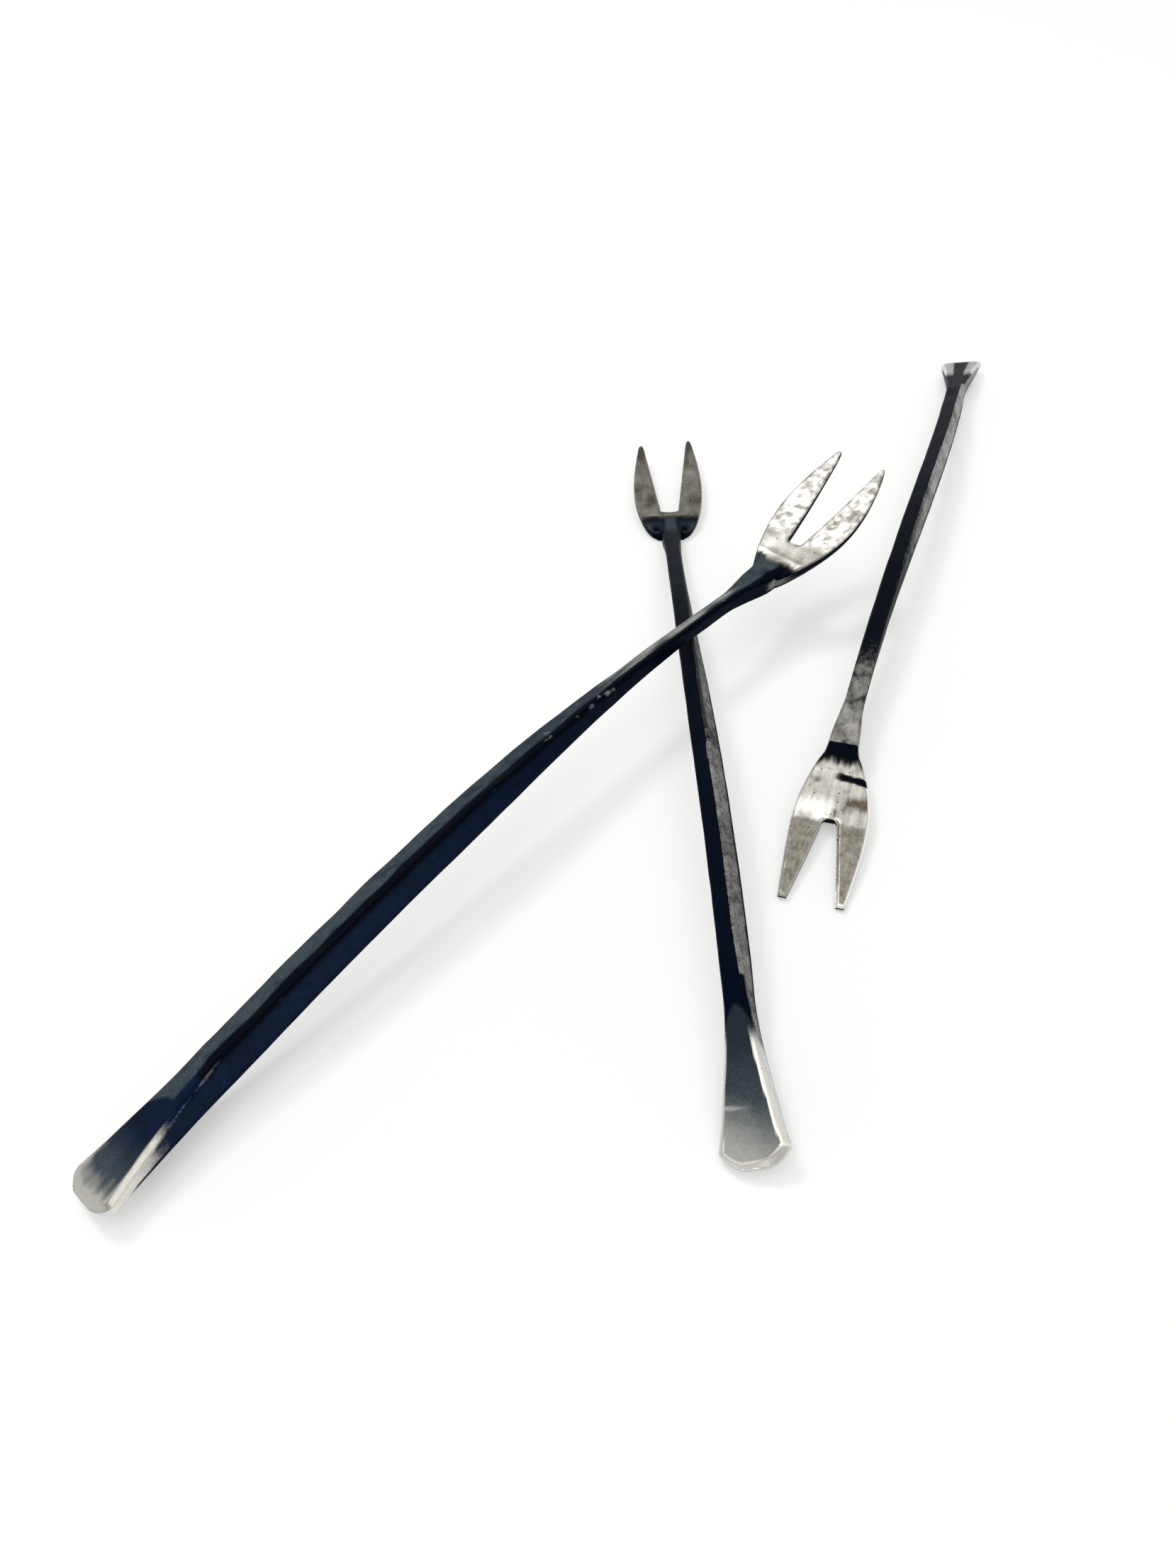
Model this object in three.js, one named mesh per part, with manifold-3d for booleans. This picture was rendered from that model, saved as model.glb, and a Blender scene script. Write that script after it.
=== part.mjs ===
// Three hand-forged olive forks laid on a table: one lies straight, one leans across it, one lies beside it.
// Each fork is a single forging: a square bar, one end spread to a fan and the other to a two-tined head.
// Millimetres and degrees. +Z is up, +Y about along the straight fork, the origin at the footprint's middle.

import * as THREE from "three";
import { mergeVertices } from "three/addons/utils/BufferGeometryUtils.js";
import Module from "manifold-3d";

// Lengths along every fork
const FAN_LENGTH = 20;        // from the fan's round end to the full shank
const FAN_END_RISE = 2.2;     // how far the round end stands out past the fan's corners
const FAN_FLARE_POWER = 1.5;  // above one the fan's flanks are hollow, at one straight
const TWIST_START = 12;       // where the bar begins to turn from the fan's roll to the shank's
const TWIST_END = 30;         // and where it has turned
const TAPER_LENGTH = 52;      // from the full shank down to the waist
const WAIST_LENGTH = 8;       // slimmest stretch of the bar
const FLARE_LENGTH = 10;      // from the waist up to the head's shoulder
const RAMP_LENGTH = 4.5;      // from the shoulder's lip down to the thin plate
const BEND_LENGTH = 5;        // stretch over which the head bends up from the neck

// Thicknesses and edges of every fork
const FAN_THICKNESS = 1.3;
const FAN_DROP = 0.3;         // how far the fan's middle lies below the shank's
const TIP_THICKNESS = 1.0;
const HEAD_DROP = 0.3;        // how far the head's middle lies below the shank's
const EASED_EDGE = 0.35;      // flat worn along the shank's corners
const FAN_BEVEL = 0.45;       // filed rim round the fan's upper face
const PLATE_BEVEL = 0.2;      // filed edges of the head
const SLOT_CORNER = 0.8;      // rounding at the bottom of the tine slot
const SAW_HEIGHT = 8;         // reach of the cut that opens the slot, past both faces of the plate
const CORNER_LIMIT = 0.9;     // most of a half width that a corner's flat may take up

// How the forks lie
const REST_CLEARANCE = 0.3;   // between the leaning fork and the one that carries it
const STAND_OFF = 9.7;        // clear floor between the straight shank and the head beside it
const RIGHT_HEAD_ALONG = 48.5;   // where that head lies, from the straight fork's fan end
const CROSSING_ON_MIDDLE = 80.6;   // where the forks cross, from the straight fork's fan end
const CROSSING_ON_LEFT = 108.5;  // and from the leaning fork's own fan end

// Each fork's own sizes. Widths are across it, heights and thicknesses through it, and back counts from the
// tips. A cheek power below one makes the head's cheeks fuller, and a tip skew makes one tine the longer.
// The shifts move the fan's end and the middle of the head to the left of the middle line. Bow is how far
// the shank turns down from fan to head, sway how far it turns left, wave how far both its ends turn left of
// its middle. Head bend lifts the head and head turn swings it left. Rolls turn the bar about its length,
// and a positive one lifts its left side.
const LEFT = {
  heading: 47.1,
  length: 152.5,
  fanWidth: 9.6,
  fanShift: 0.65,
  shankWidth: 4.2,
  shankHeight: 4.4,
  waistWidth: 2.3,
  waistHeight: 2.3,
  shoulderWidth: 4.4,
  lipWidth: 4,
  neckHeight: 3,
  headLength: 26,
  headWidth: 13.3,
  plateThickness: 2.2,
  cheekPower: 0.9,
  widestBack: 12,
  slotDepth: 18.7,
  slotWidth: 2.9,
  tipGap: 7.6,
  tipWidth: 0.75,
  tipSkew: 0,
  bow: 13.3,
  sway: -4.7,
  wave: -1.8,
  headBend: 25.7,
  headTurn: 0,
  headShift: -0.4,
  fanRoll: -19,
  shankRoll: -15.5,
  neckRoll: -3.9,
};
const MIDDLE = {
  heading: 89.6,
  length: 148.4,
  fanWidth: 8.3,
  fanShift: 0,
  shankWidth: 3,
  shankHeight: 3.15,
  waistWidth: 2.55,
  waistHeight: 2.45,
  shoulderWidth: 3.4,
  lipWidth: 2.8,
  neckHeight: 2.7,
  headLength: 27.2,
  headWidth: 12.6,
  plateThickness: 1.7,
  cheekPower: 0.43,
  widestBack: 14,
  slotDepth: 21.3,
  slotWidth: 3.4,
  tipGap: 8.3,
  tipWidth: 0.85,
  tipSkew: -0.115,
  bow: 25.8,
  sway: -1.9,
  wave: -2.3,
  headBend: 20.8,
  headTurn: 0.9,
  headShift: 0,
  fanRoll: -22.2,
  shankRoll: -42,
  neckRoll: -12.7,
};
const RIGHT = {
  heading: -114.6,
  length: 152.2,
  fanWidth: 8.2,
  fanShift: 0,
  shankWidth: 3.1,
  shankHeight: 3.3,
  waistWidth: 2.75,
  waistHeight: 2.6,
  shoulderWidth: 4.3,
  lipWidth: 4,
  neckHeight: 2.9,
  headLength: 26,
  headWidth: 10.4,
  plateThickness: 1.7,
  cheekPower: 1,
  widestBack: 13,
  slotDepth: 13.5,
  slotWidth: 2.2,
  tipGap: 6.3,
  tipWidth: 1.2,
  tipSkew: 0,
  bow: 16.3,
  sway: -0.6,
  wave: 3.9,
  headBend: 2.2,
  headTurn: 1.5,
  headShift: 0.3,
  fanRoll: 10.4,
  shankRoll: 23,
  neckRoll: 2.4,
};

// Spacing of the loft's rings
const FAN_STEP = 1.6;
const SHANK_STEP = 4;
const HEAD_STEP = 1.3;
const END_ARC_STEPS = 5;
const SLOT_CORNER_STEPS = 4;

// Search for the angle at which a fork lies still
const SEARCH_STEPS = 40;
const STEEPEST_LEAN = Math.PI / 4;

const wasm = await Module();
wasm.setup();

const radians = THREE.MathUtils.degToRad;
const mix = THREE.MathUtils.lerp;
const smooth = (value, start, end) => THREE.MathUtils.smoothstep(value, start, end);

// Distances along one fork at which its form changes
function marksOf(size) {
  const shoulder = size.length - size.headLength;
  const waistEnd = shoulder - FLARE_LENGTH;
  const waistStart = waistEnd - WAIST_LENGTH;
  return {
    shoulder,
    waistEnd,
    waistStart,
    taperStart: waistStart - TAPER_LENGTH,
    plateStart: shoulder + RAMP_LENGTH,
    widest: size.length - size.widestBack,
    slotBottom: size.length - size.slotDepth,
  };
}

// The fan's half width: a round end, then a concave flare into the shank
function fanHalfWidth(size, along) {
  if (along < FAN_END_RISE) {
    const short = (FAN_END_RISE - along) / FAN_END_RISE;
    return (size.fanWidth / 2) * Math.sqrt(1 - short * short);
  }
  const spread = 1 - Math.min((along - FAN_END_RISE) / (FAN_LENGTH - FAN_END_RISE), 1);
  return mix(size.shankWidth, size.fanWidth, Math.pow(spread, FAN_FLARE_POWER)) / 2;
}

// The head's half width: swelling from the shoulder to its widest place, then curving in to the tips
function headHalfWidth(size, along) {
  const marks = marksOf(size);
  const tipHalf = size.tipGap / 2 + size.tipWidth;
  if (along < marks.widest) {
    const run = Math.sin(((along - marks.shoulder) / (marks.widest - marks.shoulder)) * Math.PI / 2);
    const swell = Math.pow(run, size.cheekPower);
    return mix(size.shoulderWidth, size.headWidth, swell) / 2;
  }
  const curveIn = 1 - Math.cos(((along - marks.widest) / size.widestBack) * Math.PI / 2);
  return mix(size.headWidth / 2, tipHalf, curveIn);
}

// The bar's cross-section at a distance along the fork: its half width, its top and bottom from the middle
// line, and the flats across and down its upper corners and round its lower ones
function sectionAt(size, along) {
  const marks = marksOf(size);
  if (along < FAN_LENGTH) {
    const grow = along / FAN_LENGTH;
    return {
      half: fanHalfWidth(size, along),
      top: mix(FAN_THICKNESS / 2 - FAN_DROP, size.shankHeight / 2, grow),
      bottom: mix(-FAN_THICKNESS / 2 - FAN_DROP, -size.shankHeight / 2, grow),
      across: mix(FAN_BEVEL, EASED_EDGE, grow),
      down: mix(FAN_BEVEL, EASED_EDGE, grow),
      under: EASED_EDGE,
    };
  }
  if (along <= marks.shoulder) {
    const thin = smooth(along, marks.taperStart, marks.waistStart);
    const flare = smooth(along, marks.waistEnd, marks.shoulder);
    const height = mix(mix(size.shankHeight, size.waistHeight, thin), size.neckHeight, flare);
    const flat = mix(EASED_EDGE, (size.shoulderWidth - size.lipWidth) / 2, flare);
    return {
      half: mix(mix(size.shankWidth, size.waistWidth, thin), size.shoulderWidth, flare) / 2,
      top: height / 2,
      bottom: -height / 2,
      across: Math.max(flat, PLATE_BEVEL),
      down: mix(EASED_EDGE, size.neckHeight - size.plateThickness, flare),
      under: mix(EASED_EDGE, PLATE_BEVEL, flare),
    };
  }
  const ramp = smooth(along, marks.shoulder, marks.plateStart);
  const thin = Math.sqrt(Math.max(along - marks.plateStart, 0) / (size.length - marks.plateStart));
  const thickness = mix(size.plateThickness, TIP_THICKNESS, thin);
  const half = headHalfWidth(size, along);
  const lipFlat = Math.max((size.shoulderWidth - size.lipWidth) / 2, PLATE_BEVEL);
  return {
    half,
    top: mix(size.neckHeight / 2, thickness / 2 - HEAD_DROP, ramp),
    bottom: mix(-size.neckHeight / 2, -thickness / 2 - HEAD_DROP, ramp),
    across: mix(lipFlat + half - size.shoulderWidth / 2, PLATE_BEVEL, ramp),
    down: mix(size.neckHeight - size.plateThickness, PLATE_BEVEL, ramp),
    under: PLATE_BEVEL,
  };
}

// How far the section is turned about the fork's length
function rollAt(size, along) {
  const marks = marksOf(size);
  const toShank = mix(size.fanRoll, size.shankRoll, smooth(along, TWIST_START, TWIST_END));
  const toNeck = mix(toShank, size.neckRoll, smooth(along, marks.taperStart, marks.waistEnd));
  return radians(mix(toNeck, 0, smooth(along, marks.waistEnd, marks.shoulder)));
}

// The axes of the middle line, in the fork's own frame: X from fan to tips, Y to its left, Z up
function axesAt(size, along) {
  const { shoulder } = marksOf(size);
  const run = THREE.MathUtils.clamp((along - FAN_LENGTH) / (shoulder - FAN_LENGTH), 0, 1);
  const fromMiddle = run - 0.5;
  const bent = smooth(along, shoulder - BEND_LENGTH / 2, shoulder + BEND_LENGTH / 2);
  const turned = size.sway * fromMiddle + size.wave * 4 * fromMiddle * fromMiddle + size.headTurn * bent;
  const yaw = radians(turned);
  const pitch = radians(size.headBend * bent - size.bow * run);
  const level = Math.cos(pitch);
  const forward = new THREE.Vector3(level * Math.cos(yaw), level * Math.sin(yaw), Math.sin(pitch));
  const left = new THREE.Vector3(-Math.sin(yaw), Math.cos(yaw), 0);
  const up = new THREE.Vector3().crossVectors(forward, left);
  return { forward, left, up };
}

// Distances of the loft's rings, closest where the form changes fastest
function ringStations(size) {
  const marks = marksOf(size);
  const stations = [];
  for (let step = 1; step <= END_ARC_STEPS; step++) {
    const turn = (step / END_ARC_STEPS) * Math.PI / 2;
    stations.push(FAN_END_RISE * (1 - Math.cos(turn)));
  }
  const stretches = [
    [FAN_END_RISE, FAN_LENGTH, FAN_STEP],
    [FAN_LENGTH, marks.waistEnd, SHANK_STEP],
    [marks.waistEnd, marks.shoulder, HEAD_STEP],
    [marks.shoulder, size.length, HEAD_STEP],
  ];
  for (const [from, to, spacing] of stretches) {
    const count = Math.ceil((to - from) / spacing);
    for (let index = 1; index <= count; index++) {
      stations.push(mix(from, to, index / count));
    }
  }
  return stations;
}

// The middle line's point and axes at each station
function framesOf(size, stations) {
  const point = new THREE.Vector3();
  const frames = [];
  let reached = 0;
  for (const along of stations) {
    const halfway = axesAt(size, (reached + along) / 2);
    point.addScaledVector(halfway.forward, along - reached);
    reached = along;
    frames.push({ along, point: point.clone(), ...axesAt(size, along) });
  }
  return frames;
}

// How far the outline stands to the left of the middle line, at the fan's end and halfway along the head
function shiftAt(size, along) {
  const fan = size.fanShift * (1 - smooth(along, 0, FAN_LENGTH));
  const { shoulder } = marksOf(size);
  const run = Math.max(along - shoulder, 0) / size.headLength;
  return fan + size.headShift * Math.sin(run * Math.PI);
}

// One ring of eight points round the bar, counted from the lower left corner over the top
function ringAt(size, frame) {
  const { half, top, bottom, across, down, under } = sectionAt(size, frame.along);
  const roll = rollAt(size, frame.along);
  const shift = shiftAt(size, frame.along);
  const skew = size.tipSkew * smooth(frame.along, marksOf(size).shoulder, size.length);
  const inset = Math.min(across, half * CORNER_LIMIT);
  const tuck = Math.min(under, half * CORNER_LIMIT);
  const corners = [
    [half, bottom + under], [half, top - down], [half - inset, top], [inset - half, top],
    [-half, top - down], [-half, bottom + under], [tuck - half, bottom], [half - tuck, bottom],
  ];
  return corners.map(([sideways, height]) => {
    const aside = sideways + shift;
    const turnedLeft = aside * Math.cos(roll) - height * Math.sin(roll);
    const turnedUp = aside * Math.sin(roll) + height * Math.cos(roll);
    const point = frame.point.clone().addScaledVector(frame.left, turnedLeft);
    return point.addScaledVector(frame.up, turnedUp).addScaledVector(frame.forward, sideways * skew);
  });
}

// A closed skin over the rings, flat at both ends
function loftGeometry(rings) {
  const around = rings[0].length;
  const positions = rings.flat().flatMap((point) => point.toArray());
  const faces = [];
  for (let ring = 0; ring + 1 < rings.length; ring++) {
    for (let corner = 0; corner < around; corner++) {
      const a = ring * around + corner;
      const b = ring * around + (corner + 1) % around;
      faces.push(a, b, a + around, b, b + around, a + around);
    }
  }
  const last = (rings.length - 1) * around;
  for (let corner = 1; corner + 1 < around; corner++) {
    faces.push(0, corner + 1, corner);
    faces.push(last, last + corner, last + corner + 1);
  }
  const geometry = new THREE.BufferGeometry();
  geometry.setAttribute("position", new THREE.Float32BufferAttribute(positions, 3));
  geometry.setIndex(faces);
  return geometry;
}

// The wedge that is sawn out between the tines, square through the plate
function slotGeometry(size, frames) {
  const { slotBottom } = marksOf(size);
  const tip = frames[frames.length - 1];
  const half = size.slotWidth / 2;
  const opening = (size.tipGap / 2 - half) / (size.slotDepth - SLOT_CORNER);
  const reach = size.slotDepth + size.tipWidth;
  const mouth = half + opening * (reach - SLOT_CORNER);
  const outline = new THREE.Shape();
  outline.moveTo(reach, -mouth);
  outline.lineTo(reach, mouth);
  outline.lineTo(SLOT_CORNER, half);
  outline.quadraticCurveTo(0, half, 0, half - SLOT_CORNER);
  outline.lineTo(0, SLOT_CORNER - half);
  outline.quadraticCurveTo(0, -half, SLOT_CORNER, -half);
  const cut = { depth: SAW_HEIGHT, bevelEnabled: false, curveSegments: SLOT_CORNER_STEPS };
  const wedge = new THREE.ExtrudeGeometry(outline, cut);
  wedge.translate(slotBottom - size.length, 0, -SAW_HEIGHT / 2);
  const place = new THREE.Matrix4().makeBasis(tip.forward, tip.left, tip.up);
  wedge.applyMatrix4(place.setPosition(tip.point));
  return wedge;
}

function solidOf(geometry) {
  const bare = geometry.clone();
  bare.deleteAttribute("normal");
  bare.deleteAttribute("uv");
  const merged = mergeVertices(bare);
  const vertProperties = new Float32Array(merged.attributes.position.array);
  const triVerts = new Uint32Array(merged.index.array);
  return new wasm.Manifold(new wasm.Mesh({ numProp: 3, vertProperties, triVerts }));
}

function geometryOf(solid) {
  const { vertProperties, triVerts } = solid.getMesh();
  const geometry = new THREE.BufferGeometry();
  geometry.setAttribute("position", new THREE.BufferAttribute(new Float32Array(vertProperties), 3));
  geometry.setIndex(new THREE.BufferAttribute(new Uint32Array(triVerts), 1));
  geometry.computeVertexNormals();
  return geometry;
}

// One fork in its own frame, with the rings and the middle line that its resting place is worked out from
function forgeFork(name, size, material) {
  const frames = framesOf(size, ringStations(size));
  const rings = frames.map((frame) => ringAt(size, frame));
  const forged = solidOf(loftGeometry(rings));
  const slotted = forged.subtract(solidOf(slotGeometry(size, frames)));
  const mesh = new THREE.Mesh(geometryOf(slotted), material);
  mesh.name = name;
  mesh.rotation.set(0, 0, radians(size.heading), "ZYX");
  return { size, mesh, rings, frames };
}

// Tips the fork about its fan end and sets it down with its lowest point on the table
function lean(fork, angle) {
  fork.mesh.rotation.y = -angle;
  fork.mesh.position.z = 0;
  fork.mesh.updateMatrix();
  const heights = fork.rings.flat().map((point) => point.clone().applyMatrix4(fork.mesh.matrix).z);
  fork.mesh.position.z = -Math.min(...heights);
  fork.mesh.updateMatrix();
}

function lowestHeight(fork, rings) {
  return Math.min(...rings.flat().map((point) => point.clone().applyMatrix4(fork.mesh.matrix).z));
}

// The smallest angle in a range at which a rising measure reaches zero
function solveAngle(low, high, measure) {
  for (let step = 0; step < SEARCH_STEPS; step++) {
    const angle = (low + high) / 2;
    if (measure(angle) < 0) {
      low = angle;
    } else {
      high = angle;
    }
  }
  return high;
}

// Lean at which fan and head both touch the table
function tableLean(fork) {
  const halfway = Math.floor(fork.rings.length / 2);
  return solveAngle(-STEEPEST_LEAN, STEEPEST_LEAN, (angle) => {
    lean(fork, angle);
    return lowestHeight(fork, fork.rings.slice(halfway)) - lowestHeight(fork, fork.rings.slice(0, halfway));
  });
}

// The point of the fork's middle line at a distance from its fan end, as the fork now lies
function middlePoint(fork, along) {
  const next = fork.frames.findIndex((frame) => frame.along >= along);
  const after = fork.frames[next < 1 ? fork.frames.length - 1 : next];
  const before = fork.frames[fork.frames.indexOf(after) - 1];
  const share = (along - before.along) / (after.along - before.along);
  return before.point.clone().lerp(after.point, share).applyMatrix4(fork.mesh.matrix);
}

// Slides a fork over the table until a point of its middle line stands over a place
function slideTo(fork, along, place) {
  const offset = place.clone().sub(middlePoint(fork, along));
  fork.mesh.position.x += offset.x;
  fork.mesh.position.y += offset.y;
  fork.mesh.updateMatrix();
}

// The edges that run along a fork, as it now lies
function railsOf(fork) {
  const rings = fork.rings.map((ring) => ring.map((point) => point.clone().applyMatrix4(fork.mesh.matrix)));
  return rings[0].map((_, corner) => rings.map((ring) => ring[corner]));
}

// Where two edges pass over each other, how far the first lies above the second
function heightOver(a, b, c, d) {
  const first = b.clone().sub(a);
  const second = d.clone().sub(c);
  const between = c.clone().sub(a);
  const cross = first.x * second.y - first.y * second.x;
  const onFirst = (between.x * second.y - between.y * second.x) / cross;
  const onSecond = (between.x * first.y - between.y * first.x) / cross;
  if (!(onFirst >= 0 && onFirst <= 1 && onSecond >= 0 && onSecond <= 1)) {
    return Infinity;
  }
  return a.z + first.z * onFirst - (c.z + second.z * onSecond);
}

// The least height between a fork and the one it crosses over
function crossingGap(upper, lower) {
  let least = Infinity;
  for (const over of railsOf(upper)) {
    for (const under of railsOf(lower)) {
      for (let i = 0; i + 1 < over.length; i++) {
        for (let j = 0; j + 1 < under.length; j++) {
          least = Math.min(least, heightOver(over[i], over[i + 1], under[j], under[j + 1]));
        }
      }
    }
  }
  return least;
}

function blackenedMetal(color, roughness) {
  return new THREE.MeshStandardMaterial({ color, roughness, metalness: 0.9 });
}

// The straight fork lies on the table by its fan and its head
const middle = forgeFork("middle_fork", MIDDLE, blackenedMetal("#2e3138", 0.4));
lean(middle, tableLean(middle));

// The right fork lies beside it, its head towards the middle fork's handle
const right = forgeFork("right_fork", RIGHT, blackenedMetal("#3a3c40", 0.38));
lean(right, tableLean(right));
const straight = radians(MIDDLE.heading);
const aside = MIDDLE.shankWidth / 2 + STAND_OFF + RIGHT.headWidth / 2;
const rightHeadPlace = new THREE.Vector3(
  RIGHT_HEAD_ALONG * Math.cos(straight) + aside * Math.sin(straight),
  RIGHT_HEAD_ALONG * Math.sin(straight) - aside * Math.cos(straight),
  0);
slideTo(right, marksOf(RIGHT).widest, rightHeadPlace);

// The left fork leans across the middle one, its fan on the table and its head in the air
const left = forgeFork("left_fork", LEFT, blackenedMetal("#2b2e35", 0.4));
const crossing = middlePoint(middle, CROSSING_ON_MIDDLE);
const leftLean = solveAngle(tableLean(left), STEEPEST_LEAN, (angle) => {
  lean(left, angle);
  slideTo(left, CROSSING_ON_LEFT, crossing);
  return crossingGap(left, middle) - REST_CLEARANCE;
});
lean(left, leftLean);
slideTo(left, CROSSING_ON_LEFT, crossing);

const forks = new THREE.Group();
forks.add(left.mesh, middle.mesh, right.mesh);
const box = new THREE.Box3().setFromObject(forks, true);
const footprint = box.getCenter(new THREE.Vector3());
forks.position.set(-footprint.x, -footprint.y, -box.min.z);
forks.updateMatrixWorld(true);

export default forks;
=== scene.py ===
"""Three hand-forged olive forks, blackened and worn bright, lying on a white table."""
import math

import bmesh
import bpy
import numpy as np
from mathutils import Matrix, Vector, noise


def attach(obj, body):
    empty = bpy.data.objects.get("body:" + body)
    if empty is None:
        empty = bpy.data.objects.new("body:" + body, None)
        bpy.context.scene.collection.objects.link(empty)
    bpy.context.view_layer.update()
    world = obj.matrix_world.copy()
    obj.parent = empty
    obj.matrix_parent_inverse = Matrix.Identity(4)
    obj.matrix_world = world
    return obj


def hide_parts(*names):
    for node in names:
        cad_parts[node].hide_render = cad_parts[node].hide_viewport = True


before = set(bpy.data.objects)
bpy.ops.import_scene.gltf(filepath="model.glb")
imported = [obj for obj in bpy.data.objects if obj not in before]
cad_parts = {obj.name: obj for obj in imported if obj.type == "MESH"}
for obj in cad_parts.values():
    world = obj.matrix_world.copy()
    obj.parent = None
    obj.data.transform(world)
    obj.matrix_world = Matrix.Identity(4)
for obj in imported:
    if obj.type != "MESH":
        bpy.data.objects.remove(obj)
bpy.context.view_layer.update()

MM = 0.001

# Sizes that every fork shares, in millimetres
FAN_LENGTH = 20.0       # from the fan's round end to the full shank
FAN_RISE = 2.2          # how far the round end stands out past the fan's corners
FAN_FLARE = 1.5         # above one the fan's flanks are hollow
TWIST_START = 12.0      # where the bar begins to turn from the fan's roll to the shank's
TWIST_END = 30.0        # and where it has turned
TAPER = 52.0            # from the full shank down to the waist
WAIST = 8.0             # slimmest stretch of the bar
FLARE = 10.0            # from the waist up to the head's shoulder
RAMP = 4.5              # from the shoulder's lip down to the plate
BEND = 5.0              # stretch over which the head bends up from the neck
FAN_THICK = 1.3
FAN_DROP = 0.3          # how far the fan's middle lies below the shank's
TIP_THICK = 1.0
HEAD_DROP = 0.3         # how far the head's middle lies below the shank's
SLOT_ROUND = 1.3        # rounding at the bottom of the slot
TIP_CLOSE = 0.95        # share of a pointed tine's width that is gone at its tip
TIP_CAP = 0.22          # how far the last ring of a tine is drawn in to its middle

# How far the skin lies inside the CAD solid
INSET = 0.04
FAN_INSET = 0.14
UNDER_INSET = 0.03
END_CUT = 0.2           # the fan's round end starts here

# Edges of the forging
EASED = 0.34            # width and depth of the worn corners along the shank
UNDER_EASED = 0.3       # the same along its underside
EASE_POWER = 1.35       # one is a flat bevel, more is a rounder one
FAN_EASE_POWER = 1.05
UNDER_EASE_POWER = 1.3
FAN_FLAT = 6.0          # how far the fan keeps its full bevel and its smooth face
RIM_DEPTH = 0.7         # depth of the fan's bevel and of the head's, as shares of their widths
HEAD_BEVEL_DEPTH = 0.9
SPINE_SLOPE = 0.5       # width over which the neck's spine falls to the head's plate
EYE_ALONG = 1.5         # dents beside the spine: past the shoulder, aside, half length, half width
EYE_ASIDE = 2.5
EYE_LENGTH = 0.8
EYE_WIDTH = 0.75
LEAST_THICK = 0.25
LEAST_HALF = 0.2        # the outline's half width is taken as no less than this

# Patterns: a length along the fork, a width across it, and a number that keeps each apart from the others
HAMMER_MARKS = (5.5, 3.0, 4.0)
SMALL_MARKS = (2.2, 1.6, 9.0)
DIMPLES = (1.5, 1.3, 13.0)
UNDER_MARKS = (6.0, 3.0, 21.0)
COARSE_WEAR = (4.0, 2.0, 50.0)
FINE_WEAR = (1.1, 0.9, 60.0)
FINER_WEAR = (0.55, 0.5, 65.0)
STREAKS = (7.0, 0.5, 70.0)

# Depths of the marks that are the same on every fork, and how far a mark may stand proud
SMALL_DEPTH = 0.03
UNDER_DEPTH = 0.06
SIDE_DEPTH = 0.05
SIDE_DENT_LENGTH = 5.0
SIDE_DENTS = 30.0       # keeps the dents on the sides apart from the other patterns
MOST_PROUD = 0.05
SIDE_PROUD = 0.02
UNEVEN = 0.035          # share by which the shank's width varies
UNEVEN_LENGTH = 6.0

# Each fork's own sizes in millimetres and degrees, as in the CAD model, then those of its finish: bevels and
# dimples, how far the tips close, the fan's rim to its left and right and how far it runs up the flanks,
# depths of eyes and hammer marks, how far the dark of the shoulder runs on to the head and streaks there,
# and how blue the patina is.
FORKS = {
    "left_fork": dict(
        place=(-71.3209, -87.071, 2.2922), heading=47.1, lean=9.4218, seed=11.0,
        length=152.5, fan=9.6, fan_round=2.0, fan_shift=0.65,
        width=4.2, height=4.4, waist=2.3, waist_height=2.3,
        shoulder_width=4.4, lip=4.0, neck_height=3.0,
        head=26.0, head_width=13.3, plate=2.2, cheek=0.9, widest=12.0,
        slot=18.7, slot_width=2.9, tip_gap=7.6, tip=0.75, skew=0.0,
        bow=13.3, sway=-4.7, wave=-1.8, bend=25.7, turn=0.0, head_shift=-0.4,
        fan_roll=-19.0, roll=-15.5, neck_roll=-3.9,
        head_bevel=0.22, dimple=0.07, tip_round=2.2, rim_left=0.3, rim_right=0.6, rim_length=13.5,
        eye=0.0, hammer=0.17, dark=2.7, streak=0.3, blue=0.8),
    "middle_fork": dict(
        place=(0.7357, -87.9886, 1.958), heading=89.6, lean=10.4067, seed=37.0,
        length=148.4, fan=8.3, fan_round=1.4, fan_shift=0.0,
        width=3.0, height=3.15, waist=2.55, waist_height=2.45,
        shoulder_width=3.4, lip=2.8, neck_height=2.7,
        head=27.2, head_width=12.6, plate=1.7, cheek=0.43, widest=14.0,
        slot=21.3, slot_width=3.4, tip_gap=8.3, tip=0.85, skew=-0.115,
        bow=25.8, sway=-1.9, wave=-2.3, bend=20.8, turn=0.9, head_shift=0.0,
        fan_roll=-22.2, roll=-42.0, neck_roll=-12.7,
        head_bevel=0.2, dimple=0.03, tip_round=1.6, rim_left=0.25, rim_right=0.85, rim_length=17.5,
        eye=0.5, hammer=0.08, dark=4.0, streak=0.0, blue=0.2),
    "right_fork": dict(
        place=(70.5912, 88.3204, 1.37), heading=-114.6, lean=7.9093, seed=71.0,
        length=152.2, fan=8.2, fan_round=2.0, fan_shift=0.0,
        width=3.1, height=3.3, waist=2.75, waist_height=2.6,
        shoulder_width=4.3, lip=4.0, neck_height=2.9,
        head=26.0, head_width=10.4, plate=1.7, cheek=1.0, widest=13.0,
        slot=13.5, slot_width=2.2, tip_gap=6.3, tip=1.2, skew=0.0,
        bow=16.3, sway=-0.6, wave=3.9, bend=2.2, turn=1.5, head_shift=0.3,
        fan_roll=10.4, roll=23.0, neck_roll=2.4,
        head_bevel=0.34, dimple=0.025, tip_round=0.0, rim_left=0.4, rim_right=0.4, rim_length=13.0,
        eye=0.0, hammer=0.09, dark=2.1, streak=0.9, blue=0.1),
}

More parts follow.
